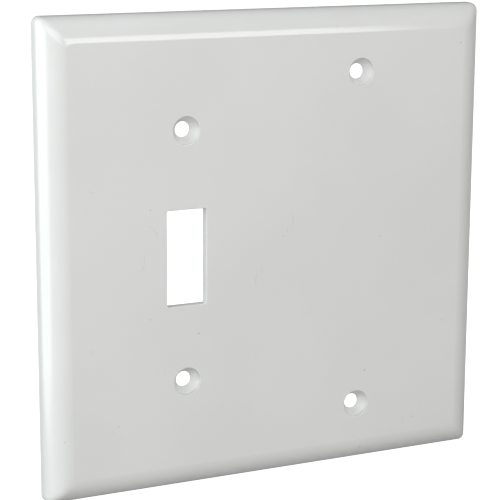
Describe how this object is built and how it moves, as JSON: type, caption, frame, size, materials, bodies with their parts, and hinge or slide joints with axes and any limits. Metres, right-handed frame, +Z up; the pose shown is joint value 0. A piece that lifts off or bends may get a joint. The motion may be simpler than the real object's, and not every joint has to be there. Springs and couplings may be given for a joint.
{
  "type": "wall plate cover",
  "caption": "Square-cornered wall plate for a double switch box: an opening for a toggle switch beside a blank, bevelled edges, a hollow back and countersunk screw holes.",
  "frame": {"origin": "centre of the back rim, on the wall", "axes": "-Y out of the face towards the room, +Y into the wall, +X to the right as seen from the room, +Z up; the toggle opening is at -X"},
  "size_m": [0.1158, 0.007, 0.1142],
  "materials": {
    "white_plastic": "gloss white, as moulded"
  },
  "bodies": {
    "root": {"wall_plate": "white_plastic"}
  },
  "joints": []
}
